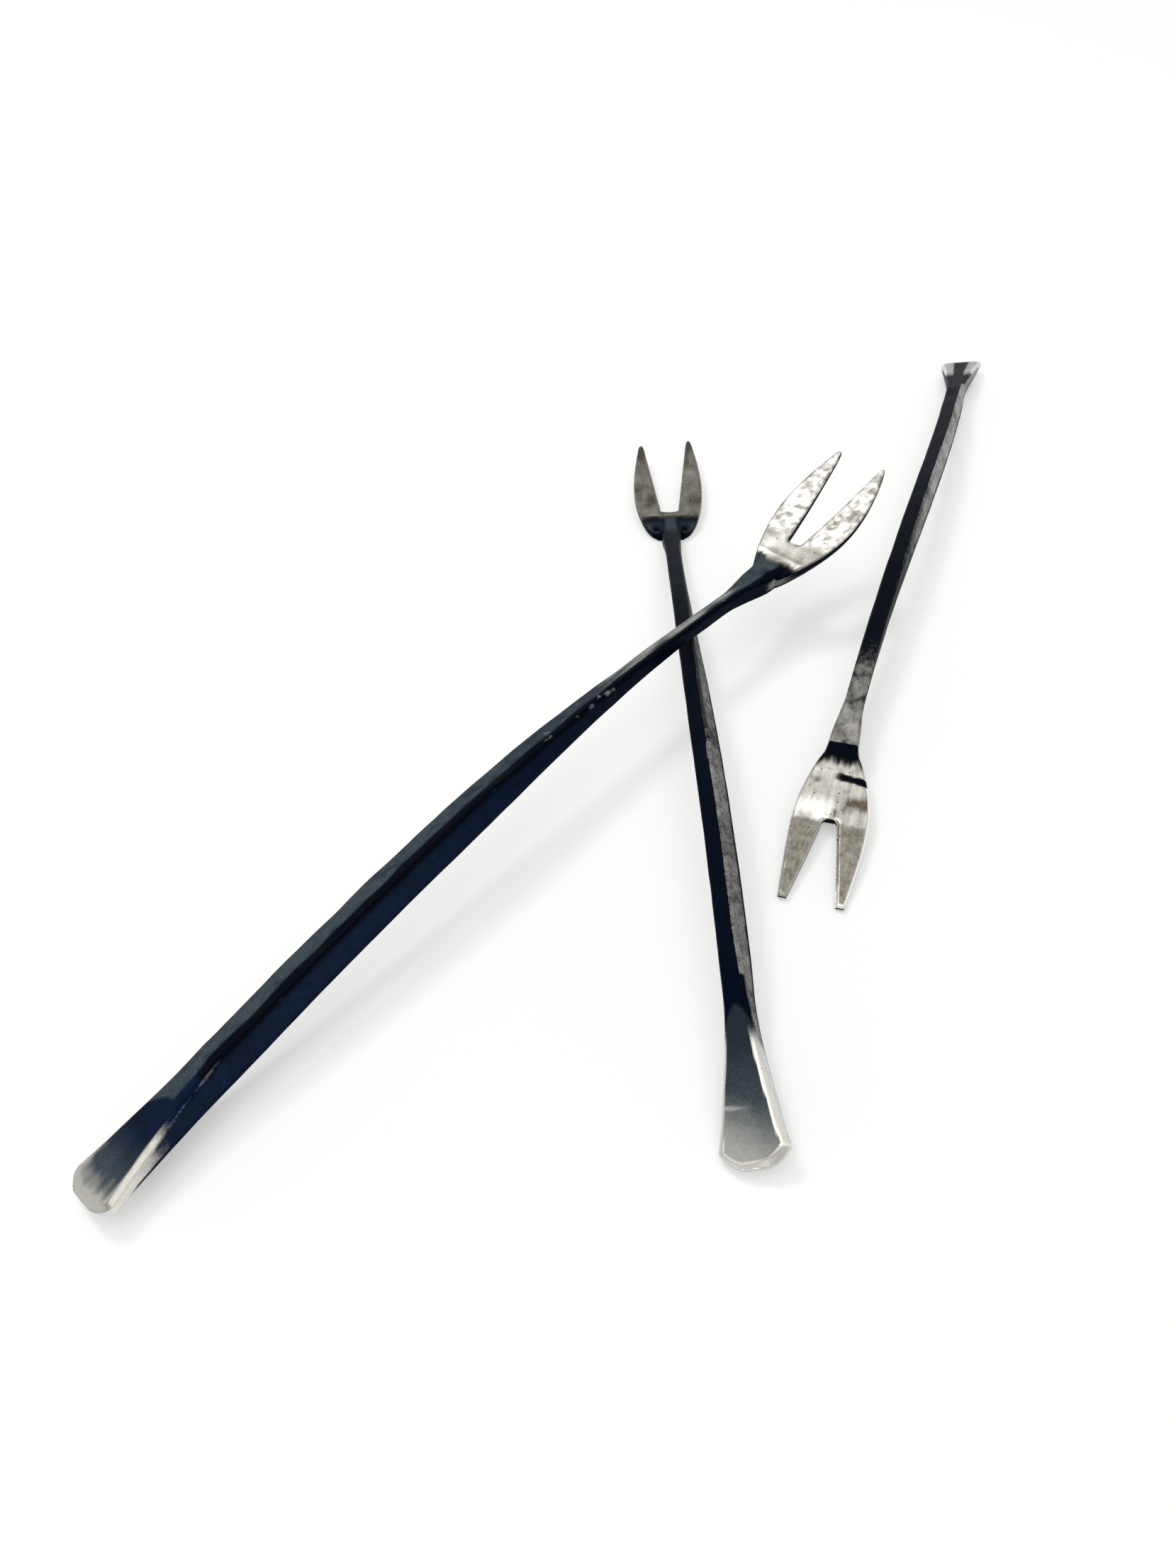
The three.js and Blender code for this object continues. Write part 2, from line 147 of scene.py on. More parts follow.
# Rings along a fork: their spacing, and those at the shoulder's lip and at the slot's bottom
END_RINGS = 18
FAN_GAP = 0.25
SHANK_GAP = 0.5
HEAD_GAP = 0.25
TINE_GAP = 0.28
LIP_RINGS = (-0.2, -0.06, 0.0, 0.1, 0.22, 0.36)
BEFORE_LIP = 0.4
ROOT_RINGS = (0.0, 0.03, 0.09, 0.2, 0.36, 0.56, 0.78, 1.0)
BEFORE_ROOT = 0.12

# Points round one half of a ring: over the top, down the side, back underneath, up the slot's wall
TOP_POINTS = 22
SIDE_POINTS = 4
WALL_POINTS = 3
OUTER = 2 * TOP_POINTS + SIDE_POINTS
LOOP = OUTER + WALL_POINTS
FACES = ("top", "side", "under", "wall")
FACE_OF_POINT = np.repeat(FACES, (TOP_POINTS, SIDE_POINTS, TOP_POINTS, WALL_POINTS))

# Steps of the search for the nearest point of the outline
OUTLINE_POINTS = 900
CHUNK = 2000

SHARP_ANGLE = math.radians(38)
JOIN_DISTANCE = 0.0005 * MM


def mix(a, b, t):
    return a + (b - a) * t


def share(x, start, length):
    return np.clip((x - start) / length, 0.0, 1.0)


def smooth(x, start, end):
    t = share(x, start, end - start)
    return t * t * (3.0 - 2.0 * t)


def fade(x, start, end):
    return 1.0 - smooth(x, start, end)


def hump(x, middle, width):
    return np.exp(-((x - middle) / width) ** 2)


def rough(x, y, z):
    """Smooth random values between about -1 and 1 at the given places."""
    x, y, z = np.broadcast_arrays(x, y, z)
    flat = [noise.noise(Vector(p)) for p in zip(x.ravel(), y.ravel(), z.ravel())]
    return np.array(flat).reshape(x.shape)


def spaced(start, end, gap):
    """Distances after start and up to end, no more than about a gap apart."""
    return np.linspace(start, end, max(2, math.ceil((end - start) / gap)))[1:]


def between_ends(count):
    return np.linspace(0, 1, count + 2)[1:-1]


class Form:
    """The plan and profile of one fork, as functions of the distance s from its fan end."""

    def __init__(self, size):
        vars(self).update(size)
        self.shoulder = self.length - self.head
        self.waist_end = self.shoulder - FLARE
        self.waist_start = self.waist_end - WAIST
        self.taper_start = self.waist_start - TAPER
        self.widest_at = self.length - self.widest
        self.slot_at = self.length - self.slot

    def bar(self, s, full, waist, neck):
        """Half of a size of the bar, which tapers from shank to waist and grows again to the neck."""
        thin = smooth(s, self.taper_start, self.waist_start)
        flare = smooth(s, self.waist_end, self.shoulder)
        return mix(mix(full, waist, thin), neck, flare) / 2

    def half(self, s):
        """Half the width of the outline."""
        short = np.clip((FAN_RISE - s) / FAN_RISE, 0.0, 1.0)
        end = np.sqrt(1.0 - short ** self.fan_round)
        spread = 1.0 - share(s, FAN_RISE, FAN_LENGTH - FAN_RISE)
        fan = mix(self.width, self.fan, spread ** FAN_FLARE) / 2 * end
        bar = self.bar(s, self.width, self.waist, self.shoulder_width)
        run = share(s, self.shoulder, self.widest_at - self.shoulder)
        swell = mix(self.shoulder_width, self.head_width, np.sin(run * math.pi / 2) ** self.cheek) / 2
        close = 1.0 - np.cos(share(s, self.widest_at, self.widest) * math.pi / 2)
        plate = mix(swell, self.tip_gap / 2 + self.tip, close)
        return np.where(s < FAN_LENGTH, fan, np.where(s <= self.shoulder, bar, plate))

    def heights(self, s):
        """Top and underside from the middle line, and how high the neck's spine still stands on the head."""
        grow = share(s, 0.0, FAN_LENGTH)
        bar = self.bar(s, self.height, self.waist_height, self.neck_height)
        run = share(s, self.shoulder, RAMP)
        fall = 1.0 - (1.0 - run) ** 2
        plate = mix(self.plate, TIP_THICK, np.sqrt(share(s, self.shoulder + RAMP, self.head - RAMP))) / 2
        in_fan = s < FAN_LENGTH
        in_bar = s <= self.shoulder
        top = np.where(in_bar, bar, mix(self.neck_height / 2, plate - HEAD_DROP, fall))
        top = np.where(in_fan, mix(FAN_THICK / 2 - FAN_DROP, self.height / 2, grow), top)
        under = np.where(in_bar, -bar, mix(-self.neck_height / 2, -plate - HEAD_DROP, smooth(run, 0, 1)))
        under = np.where(in_fan, mix(-FAN_THICK / 2 - FAN_DROP, -self.height / 2, grow), under)
        rise = np.where(in_bar, smooth(s, self.waist_end, self.shoulder), 1.0 - fall)
        spine = np.where(in_fan, 0.0, (self.neck_height - self.plate) * rise)
        return top, under, spine

    def slot_half(self, s):
        """Half the width of the open slot, nought before its bottom."""
        into = s - self.slot_at
        opening = (self.tip_gap - self.slot_width) / 2 / (self.slot - SLOT_ROUND)
        wall = self.slot_width / 2 + opening * np.maximum(into - SLOT_ROUND, 0.0)
        corner = np.clip(1.0 - into / SLOT_ROUND, 0.0, 1.0)
        return np.where(into <= 0.0, 0.0, wall * np.cbrt(1.0 - corner ** 3))

    def rim(self, v):
        """Width of the fan's bright bevel, from its right edge, where v is -1, to its left."""
        return mix(self.rim_right, self.rim_left, smooth(v, -0.75, 0.25))

    def shift(self, s):
        """How far the outline stands to the left of the middle line."""
        run = share(s, self.shoulder, self.head)
        return self.fan_shift * fade(s, 0.0, FAN_LENGTH) + self.head_shift * np.sin(run * math.pi)

    def roll_at(self, s):
        shank = mix(self.fan_roll, self.roll, smooth(s, TWIST_START, TWIST_END))
        neck = mix(shank, self.neck_roll, smooth(s, self.taper_start, self.waist_end))
        return np.radians(neck * fade(s, self.waist_end, self.shoulder))

    def axes(self, s):
        """Directions forward, to the left and up along the middle line."""
        run = share(s, FAN_LENGTH, self.shoulder - FAN_LENGTH)
        bent = smooth(s, self.shoulder - BEND / 2, self.shoulder + BEND / 2)
        yaw = np.radians(self.sway * (run - 0.5) + self.wave * 4 * (run - 0.5) ** 2 + self.turn * bent)
        pitch = np.radians(self.bend * bent - self.bow * run)
        level = np.cos(pitch)
        forward = np.stack([level * np.cos(yaw), level * np.sin(yaw), np.sin(pitch)], -1)
        left = np.stack([-np.sin(yaw), np.cos(yaw), np.zeros_like(yaw)], -1)
        return forward, left, np.cross(forward, left)

    def pattern(self, s, y, kind):
        """Smooth random values at places along and across the fork."""
        along, across, apart = kind
        return rough(s / along, y / across, self.seed + apart)

    def uneven(self, s):
        """Where the bar is left uneven: the shank, but not the fan or the shoulder."""
        return smooth(s, 14, 30) * fade(s, self.shoulder - 6, self.shoulder)

    def stations(self):
        """Distances of the rings, and how many lie before the slot."""
        first = math.acos(1.0 - END_CUT / FAN_RISE)
        end = FAN_RISE * (1.0 - np.cos(np.linspace(first, math.pi / 2, END_RINGS)))
        lip = self.shoulder + np.array(LIP_RINGS)
        root = self.slot_at + SLOT_ROUND * np.array(ROOT_RINGS)
        solid = [
            end,
            spaced(FAN_RISE, FAN_LENGTH, FAN_GAP),
            spaced(FAN_LENGTH, self.shoulder - BEFORE_LIP, SHANK_GAP),
            lip,
            spaced(lip[-1], self.slot_at - BEFORE_ROOT, HEAD_GAP),
        ]
        tines = [root, spaced(root[-1], self.length, TINE_GAP)]
        return np.concatenate(solid + tines), sum(len(part) for part in solid)


def edge_distance(form, s, y):
    """Distance of plan points from the fork's outline, the slot's walls and both ends."""
    t = np.linspace(END_CUT, form.length, OUTLINE_POINTS)
    inner = t[t > form.slot_at]
    outer_line = np.stack([t, form.half(t)], -1)
    slot_line = np.stack([inner, form.slot_half(inner)], -1)
    outline = np.concatenate([outer_line, slot_line])
    points = np.stack([s.ravel(), np.abs(y).ravel()], -1)
    found = np.empty(len(points))
    for begin in range(0, len(points), CHUNK):
        gap = points[begin:begin + CHUNK, None, :] - outline[None, :, :]
        found[begin:begin + CHUNK] = np.sqrt((gap ** 2).sum(-1).min(1))
    found = found.reshape(s.shape)
    at_end = np.abs(y) < form.half(END_CUT)
    found = np.where(at_end, np.minimum(found, s - END_CUT), found)
    return np.minimum(found, np.maximum(form.length - s, 0.0))


def tip_rounded(form, s, flank, inner):
    """The tine's outer and inner edges, drawn together over the last of its length to a blunt point."""
    if form.tip_round == 0:
        return flank, inner
    run = share(s, form.length - form.tip_round, form.tip_round)
    close = 1.0 - np.sqrt(1.0 - (TIP_CLOSE * run) ** 2)
    middle = mix(inner, flank, 0.5)
    return mix(flank, middle, close), mix(inner, middle, close)


def half_plan(form, s, sign):
    """Places across one half of every ring, and their distances from the outline."""
    spread = 0.5 - 0.5 * np.cos(np.linspace(0.0, math.pi, TOP_POINTS))
    unevenness = UNEVEN * form.uneven(s) * rough(s / UNEVEN_LENGTH, sign * 3.0 + form.seed, 0.5)
    inset = mix(FAN_INSET, INSET, smooth(s, 4, 10))
    flank = form.half(s) * (1.0 + unevenness) - inset
    flank, hollow = tip_rounded(form, s, flank, form.slot_half(s))
    across = hollow[:, None] + (flank - hollow)[:, None] * spread[None, :]
    here = np.broadcast_to(s[:, None], across.shape)
    edge = np.maximum(edge_distance(form, here, across) - inset[:, None], 0.0)
    edge[:, -1] = 0.0
    return across, edge


def hammered(form, s, y):
    """Hammer marks on the shank and dimples on the head's plate."""
    facet = form.pattern(s, y, HAMMER_MARKS) * form.hammer
    facet = facet + form.pattern(s, y, SMALL_MARKS) * SMALL_DEPTH
    dimple = form.pattern(s, y, DIMPLES) * form.dimple
    off_fan = mix(1.0, 0.25, fade(s, FAN_FLAT, FAN_LENGTH)) * smooth(s, 3, 12)
    on_head = smooth(s, form.shoulder + 5, form.shoulder + 9)
    marks = mix(facet * off_fan, dimple, on_head) * mix(smooth(s, 12, 26), 1.0, on_head)
    return np.minimum(marks, MOST_PROUD)


def upper_face(form, s, sign, across, edge):
    """Heights of the upper face: worn or filed edges, the spine that runs on to the head, and marks."""
    top, _, step = form.heights(s)
    in_head = smooth(s, form.shoulder - 0.01, form.shoulder)
    in_fan = fade(s, FAN_FLAT, FAN_LENGTH)
    rim = form.rim(sign * across / np.maximum(form.half(s), LEAST_HALF))
    width = mix(mix(EASED, rim, in_fan), form.head_bevel, in_head)
    drop = mix(mix(EASED, RIM_DEPTH * rim, in_fan), form.head_bevel * HEAD_BEVEL_DEPTH, in_head)
    ease = np.clip(1.0 - edge / width, 0.0, 1.0) ** mix(EASE_POWER, FAN_EASE_POWER, in_fan)
    off_spine = smooth(across, form.lip / 2, form.lip / 2 + SPINE_SLOPE)
    eye = hump(s - form.shoulder, EYE_ALONG, EYE_LENGTH) * hump(across, EYE_ASIDE, EYE_WIDTH)
    face = top - drop * ease - step * off_spine - form.eye * eye
    return face + hammered(form, s, across * sign) - INSET


def lower_face(form, s, sign, across, edge, upper):
    """Heights of the underside, with worn edges and shallow marks."""
    under = form.heights(s)[1]
    ease = np.clip(1.0 - edge / UNDER_EASED, 0.0, 1.0) ** UNDER_EASE_POWER
    marks = np.abs(form.pattern(s, across * sign, UNDER_MARKS)) * UNDER_DEPTH
    return np.minimum(under + UNDER_EASED * ease + marks + UNDER_INSET, upper - LEAST_THICK)


def half_skin(form, s, sign):
    """Round one half of every ring: places across, heights, and distances from the nearest edge."""
    across, edge = half_plan(form, s, sign)
    s = s[:, None]
    upper = upper_face(form, s, sign, across, edge)
    lower = lower_face(form, s, sign, across, edge, upper)

    down = between_ends(SIDE_POINTS)[None, :]
    dent = rough(s / SIDE_DENT_LENGTH, down * 1.2, form.seed + SIDE_DENTS + sign) * SIDE_DEPTH
    side_y = across[:, -1:] + np.minimum(dent, SIDE_PROUD) * form.uneven(s)
    side_z = mix(upper[:, -1:], lower[:, -1:], down)

    up = between_ends(WALL_POINTS)[None, :]
    wall_z = mix(lower[:, :1], upper[:, :1], up)
    wall_y = np.broadcast_to(across[:, :1], wall_z.shape)

    rows = [
        (across, upper, edge),
        (side_y, side_z, np.zeros(side_z.shape)),
        (across[:, ::-1], lower[:, ::-1], edge[:, ::-1]),
        (wall_y, wall_z, np.zeros(wall_z.shape)),
    ]
    return [np.concatenate(parts, 1) for parts in zip(*rows)]


def skin(form):
    """Points of both halves in the fork's own frame, with their s, y and distance from the outline."""
    s, slot_ring = form.stations()
    steps = np.diff(s, prepend=0.0)
    forward, left, up = (axis[:, None, :] for axis in form.axes(s))
    halfway = form.axes(s - steps / 2)[0]
    centre = np.cumsum(halfway * steps[:, None], 0)[:, None, :]
    roll = form.roll_at(s)[:, None]
    skew = form.skew * smooth(s, form.shoulder, form.length)[:, None]
    places, asides, edges = [], [], []
    for sign in (1.0, -1.0):
        y, z, edge = half_skin(form, s, sign)
        y = y * sign
        aside = y + form.shift(s)[:, None]
        turned = aside * np.cos(roll) - z * np.sin(roll)
        raised = aside * np.sin(roll) + z * np.cos(roll)
        place = centre + left * turned[..., None] + up * raised[..., None]
        places.append(place + forward * (y * skew)[..., None])
        asides.append(y)
        edges.append(edge)
    places = np.stack(places)
    last = places[:, -1:]
    cap = mix(last, last.mean(2, keepdims=True), TIP_CAP)
    places = np.concatenate([places, cap], 1)
    y, edge = (np.stack(parts) for parts in (asides, edges))
    y, edge = (np.concatenate([part, part[:, -1:]], 1) for part in (y, edge))
    s = np.broadcast_to(np.append(s, s[-1])[None, :, None], y.shape)
    return slot_ring, places, s, y, edge


def faces_of(count, slot_ring):
    """Quads over both halves, an end cap on the fan and one on each tine."""
    faces = []
    for side in range(2):
        base = side * count * LOOP
        turn = 1 if side == 1 else -1
        for ring in range(count - 1):
            points = OUTER - 1 if ring < slot_ring else LOOP
            for j in range(points):
                a = base + ring * LOOP + j
                b = base + ring * LOOP + (j + 1) % LOOP
                faces.append((a, b, b + LOOP, a + LOOP)[::turn])
        tip = base + (count - 1) * LOOP
        faces.append(range(tip, tip + LOOP)[::turn])
    other_half = count * LOOP
    faces.append([*range(OUTER), *range(other_half + OUTER - 2, other_half, -1)])
    return faces


class Paint:
    """Masks over one fork from 0 to 1, and what they are painted by.

    s is the distance from the fan's end, ramp the one past the shoulder and back the one from the tips.
    y runs to the fork's left, and v is the same as a share of the half width.
    """

    LABELS = ("bright", "dust_and_sheen", "stain", "blue")

    def __init__(self, form, s, y, edge):
        self.form = form
        self.s = s
        self.y = y
        self.v = y / np.maximum(form.half(s), LEAST_HALF)
        self.edge = edge
        self.ramp = s - form.shoulder
        self.back = form.length - s
        self.top, self.side, self.under, self.wall = (
            np.broadcast_to(FACE_OF_POINT == face, s.shape) for face in FACES)
        self.left_side = self.side & (self.v > 0)
        self.right_side = self.side & (self.v < 0)
        self.coarse = form.pattern(s, y, COARSE_WEAR)
        self.fine = form.pattern(s, y, FINE_WEAR)
        self.streaks = form.pattern(s, y, STREAKS)
        self.bright = np.zeros(s.shape)
        self.dust_and_sheen = np.zeros(s.shape)
        self.stain = np.full(s.shape, 0.25)
        self.blue = form.blue * (1.0 + 0.4 * self.coarse) * mix(1.0, 0.3, smooth(s, 55, 100))

    def rub_and_highlight(self, where, amount):
        """Brightens a place to at least an amount, for worn metal and for painted highlights."""
        self.bright = np.maximum(self.bright, np.where(where, amount, 0.0))

    def dull(self, where, amount):
        """Leaves a place bright by an amount, whatever it was before."""
        self.bright = np.where(where, amount, self.bright)

    def powder_and_sheen(self, where, amount):
        """Dusts a place, or lays painted sheen on it, to at least an amount."""
        self.dust_and_sheen = np.maximum(self.dust_and_sheen, np.where(where, amount, 0.0))

    def brown(self, where, amount):
        """Stains a place by an amount, whatever it was before."""
        self.stain = np.where(where, amount, self.stain)

    def burn(self, where, amount):
        """Stains a place to at least an amount."""
        self.stain = np.maximum(self.stain, np.where(where, amount, 0.0))

    def shoulder_edge(self, wander, start, end):
        """Rises from the shoulder on to the head, across the ragged edge of the dark there."""
        ragged = self.ramp + wander * self.coarse + self.form.streak * self.streaks
        return smooth(ragged, self.form.dark + start, self.form.dark + end)

    def filed(self):
        return self.shoulder_edge(0.6, -1.8, 1.8)


def paint_forging(p):
    """What every fork shows: ridges rubbed by handling, the fan's bright rim and end, the filed head."""
    ridge = fade(p.edge, 0.04, 0.22) * mix(0.3, 0.1, smooth(p.s, 13, 25))
    p.rub_and_highlight(p.top, ridge + 0.2 * p.coarse * (ridge > 0.05))
    rim = p.form.rim(p.v)
    p.rub_and_highlight(p.top, fade(p.edge, rim, rim + 0.15) * fade(p.s, p.form.rim_length - 6, p.form.rim_length))
    p.rub_and_highlight(p.top, fade(p.edge, 0.5, 0.8) * fade(p.s, 2.5, 5.0))
    p.rub_and_highlight(p.side | p.under, 0.95 * fade(p.s, 2.5, 6.5))
    p.rub_and_highlight(p.top | p.under, p.filed())
    p.rub_and_highlight((p.side | p.wall) & (p.ramp > 4), 0.22 + 0.25 * p.coarse)
    p.brown((p.side | p.wall | p.under) & (p.ramp > 0), 0.75)


def paint_left(p):
    """Blue fork: a worn fan, painted sheen and a painted dark reflection along the shank, a mottled silver
    head.
    """
    tongue_end = 13.4

    # The fan fades from bare metal through grey to a dark tongue
    p.rub_and_highlight(p.right_side, 0.75 * fade(p.s + 0.8 * p.coarse, 4.5, 13.0))
    worn = 0.6 * fade(p.s + 0.7 * p.fine, 0.8, 5.6) + 0.45 * fade(p.edge + 0.5 * p.fine, 0.2, 1.9)
    p.rub_and_highlight(p.top, worn * fade(p.s, 4.5, 8.0))
    past_tongue = smooth(p.s - tongue_end + 1.5 * (p.v + 0.3) ** 2, 0.0, 0.7)
    p.powder_and_sheen(p.top, (1.0 - past_tongue) * mix(1.0, 0.03, smooth(p.s + 0.9 * p.coarse, 3.0, 9.5)))

    # Painted sheen lies on the left of the shank's top as grey dust, and a painted dark reflection beside it
    amount = mix(1.2, 0.95, smooth(p.s, 40, 75)) + 0.25 * smooth(p.s, 92, 108)
    amount = amount * fade(p.ramp, 2.5, 4.0) * (0.75 + 0.35 * p.fine + 0.35 * p.coarse)
    p.powder_and_sheen(p.top, smooth(p.v + 0.12 * p.coarse, -0.42, -0.18) * past_tongue * amount)
    p.powder_and_sheen(p.right_side, 0.1 * fade(p.s, 30, 90))
    # The painted dark reflection: black patina instead of blue on the right of the shank's top
    p.blue = np.where(p.top & (p.v < -0.25) & (p.s > 17), 0.05, p.blue)

    # Bright dents towards the neck, and a painted highlight along the neck's top
    dents = smooth(p.coarse + 0.7 * p.fine, 0.1, 0.7) * smooth(p.s, 66, 80) * fade(p.s, 114, 124)
    p.rub_and_highlight(p.top & (p.v < 0.6), dents * 0.5)
    # The painted highlight is laid as bare metal, in a streak along the neck's top
    neck_highlight = smooth(p.s, 82, 96) * fade(p.ramp, -9, -3) * fade(np.abs(p.v - 0.25), 0.35, 0.7)
    p.rub_and_highlight(p.top, neck_highlight * (0.4 + 0.25 * p.streaks + 0.2 * p.coarse))

    # The head is brushed behind and mottled towards the tips, with a facet on the shoulder's side
    finer = p.form.pattern(p.s, p.y, FINER_WEAR)
    mottle = smooth(0.8 * p.fine + 0.6 * p.coarse + 0.5 * finer, -0.55, 0.55)
    p.brown(p.top, mix(mix(0.82, 0.12, mottle), 0.64 + 0.25 * p.coarse, fade(p.ramp, 7.5, 9.5)))
    p.brown(p.top & (p.ramp < 0), 0.55)
    p.dull(p.right_side & (p.ramp > -6), 0.5 * hump(p.ramp, 0.5, 2.4))
    p.dull(p.wall | (p.side & (p.ramp > 4)), 0.06)


def paint_middle(p):
    """Black fork: a grey fan with a bright right rim, a rubbed right side, dark tines, a dusty shoulder."""
    crease_at = 6.6
    tongue_end = 18.8

    # The fan is palest at its end, with a crease across it and a grey tongue up to the shank
    pale = 0.3 * fade(p.s - 2.4 * p.v + 0.6 * p.coarse, 0.0, 9.5)
    off_crease = np.abs(p.s - crease_at - 0.12 * p.y)
    pale = pale + 0.2 * fade(off_crease, 0.05, 0.3) * smooth(p.v, -0.3, 0.6)
    p.rub_and_highlight(p.top, 0.2 * fade(p.s, 6.0, 15.0) + pale)
    p.rub_and_highlight(p.right_side, fade(p.s, 10, 17))
    tongue = smooth(tongue_end - 3.0 * p.v * p.v - p.s, 0.0, 0.8) * mix(0.95, 0.35, smooth(p.s, 5, 16))
    p.powder_and_sheen(p.top, tongue + 0.01 * smooth(p.s, 19, 24) + 0.1 * smooth(p.s, 84, 100))

    # The shank's right side is rubbed, and so is the ridge above it
    rubbed = (0.38 + 0.1 * p.coarse) * mix(1.0, 0.85, smooth(p.s, 40, 60)) * fade(p.s, 70, 116)
    p.rub_and_highlight(p.right_side | (p.top & (p.v < -0.74) & (p.s > 22)), rubbed)

    # Tines tarnished brown, darkest at the tips and at the fold below the shoulder
    p.brown(p.top, 0.84 + 0.14 * smooth(7.0 - p.back, 0.0, 5.0) + 0.22 * p.coarse)
    p.burn(p.top, smooth(p.ramp, 2.5, 3.4) * fade(p.ramp, 4.6, 5.8))
    p.brown(p.s < 60, np.where(p.side & (p.s > 14), 0.4, 0.3))

    # Dust on the shoulder's cheeks and spine, but not in the eyes between them
    p.powder_and_sheen(p.top, 0.85 * hump(p.ramp, 1.4, 1.5) * smooth(np.abs(p.y), 1.2, 2.0))
    p.powder_and_sheen(p.top, 0.8 * smooth(p.ramp, -4, 1) * fade(p.ramp, 3.5, 5) * fade(np.abs(p.y), 0.7, 1.3))
    for aside in (-EYE_ASIDE, EYE_ASIDE):
        eye = hump(p.ramp, EYE_ALONG, EYE_LENGTH) * hump(p.y, aside, EYE_WIDTH)
        p.dust_and_sheen = p.dust_and_sheen * np.where(p.top, 1.0 - np.minimum(1.6 * eye, 1.0), 1.0)


def paint_right(p):
    """Grey-black fork: a pale left side, a bright neck, and a head with burns behind and brown tines."""
    band_at = 5.2
    patch_at = 9.4
    white_at = 11.2

    # The fan's wings and its far end are bright beside a dark middle
    wings = smooth(np.abs(p.v), 0.2, 0.45) * fade(p.s, 8.0, 15.0)
    p.rub_and_highlight(p.top, np.maximum(0.52 * wings, fade(p.s, 1.0, 1.6)))

    # The shank's left side is pale, and so is the ridge above it, and the neck is rubbed bright
    pale = (0.44 + 0.12 * p.coarse) * fade(p.s, 60, 112)
    p.rub_and_highlight(p.left_side | (p.top & (p.v > 0.74) & (p.s > 18)), pale)
    p.powder_and_sheen(p.top & (p.ramp < 0), 0.05)
    neck = smooth(p.ramp, -26, -10) * fade(p.ramp, -0.15, 0.0)
    p.rub_and_highlight(p.top, neck * (0.46 + 0.3 * p.coarse + 0.25 * p.fine))

    # Behind the slot a burnt band and a brown patch on the left, and a painted highlight on the right
    into = p.ramp - band_at - 0.12 * p.y + 0.25 * p.fine
    band = smooth(into, -0.75, -0.4) * fade(into, 0.35, 0.75) * smooth(p.y + 0.6 * p.coarse, -0.9, 0.6)
    patch = hump(p.ramp, patch_at, 1.0) * smooth(p.y + 0.7 * p.coarse, 0.8, 2.6)
    # The painted highlight: the stain is lifted here, so the silver shows white
    white = hump(p.ramp, white_at, 1.5) * fade(p.y, -0.6, 0.6)
    behind = 0.52 + 0.35 * smooth(p.coarse + 0.6 * p.fine, 0.05, 0.7) + 0.3 * p.streaks
    behind = behind + band + 0.6 * patch - 0.75 * white
    tines = 0.85 + 0.05 * p.coarse + 0.04 * p.streaks
    past_slot = smooth(p.form.slot - p.back + 0.3 * p.fine, 0.3, 1.0)
    p.brown(p.top & (p.ramp > 0), mix(behind, tines, past_slot))
    p.bright = p.bright * (1.0 - 0.85 * np.where(p.top, band, 0.0))

    # The head's filed bevel stays clean, most of all along its left
    bevel = fade(p.edge, 0.2, 0.42) * smooth(p.ramp, 4, 6) * np.where(p.v > 0.6, 1.0, 0.3)
    p.brown(p.top, p.stain * (1.0 - bevel))
    p.brown(p.top & (p.ramp < 0) & (p.s > 60), 0.5 + 0.3 * p.fine)
    p.dull(p.wall, 0.06)


PAINTERS = {"left_fork": paint_left, "middle_fork": paint_middle, "right_fork": paint_right}


def painted(name, form, s, y, edge):
    """The masks of one fork, in the order of their labels."""
    p = Paint(form, s, y, edge)
    paint_forging(p)
    PAINTERS[name](p)
    on_head = p.top & (p.ramp > 0)
    p.dull(on_head, p.bright * p.filed())
    p.burn(on_head, 1.0 - p.shoulder_edge(0.7, -0.4, 3.0))
    if form.tip_round == 0:
        p.bright[:, -1, :] = 0.0
    return [np.clip(getattr(p, label), 0.0, 1.0) for label in Paint.LABELS]


class Nodes:
    """Short ways to add nodes to one tree. A value is a number, a colour or another node's output."""

    def __init__(self, tree):
        self.tree = tree

    def feed(self, socket, value):
        if isinstance(value, bpy.types.NodeSocket):
            self.tree.links.new(value, socket)
        else:
            socket.default_value = value

    def add(self, kind, values=None, **options):
        made = self.tree.nodes.new(kind)
        for key, value in options.items():
            setattr(made, key, value)
        for key, value in (values or {}).items():
            self.feed(made.inputs[key], value)
        return made

    def attribute(self, name, output="Fac"):
        return self.add("ShaderNodeAttribute", attribute_name=name).outputs[output]

    def stretched(self, place, scale):
        return self.add("ShaderNodeMapping", {"Vector": place, "Scale": scale}).outputs["Vector"]

    def grain(self, place, scale, size, detail):
        values = {"Vector": self.stretched(place, scale), "Scale": size, "Detail": detail, "Roughness": 0.6}
        return self.add("ShaderNodeTexNoise", values).outputs["Fac"]

    def maths(self, operation, a, b, clamp=False):
        made = self.add("ShaderNodeMath", {0: a, 1: b}, operation=operation, use_clamp=clamp)
        return made.outputs["Value"]

    def blend(self, amount, a, b, kind="RGBA"):
        made = self.add("ShaderNodeMix", data_type=kind)
        for key, value in (("Factor", amount), ("A", a), ("B", b)):
            self.feed(made.inputs[key], value)
        return made.outputs["Result"]

    def between(self, value, low, high):
        """Spreads values from 0 to 1 evenly over another range."""
        values = {"Value": value, "To Min": low, "To Max": high}
        return self.add("ShaderNodeMapRange", values).outputs["Result"]

    def ramp(self, value, low, high):
        """Rises smoothly from 0 to 1 over a range."""
        values = {"Value": value, "From Min": low, "From Max": high}
        return self.add("ShaderNodeMapRange", values, interpolation_type="SMOOTHSTEP").outputs["Result"]


# Colours of the metal
# The black patina also stands for the painted dark reflection on the left fork's shank top
BLACK_PATINA_AND_DARK_REFLECTION = (0.0003, 0.001, 0.0035, 1)
DEEP_NAVY = (0.0006, 0.0052, 0.02, 1)
PALE_NAVY = (0.0014, 0.0098, 0.04, 1)
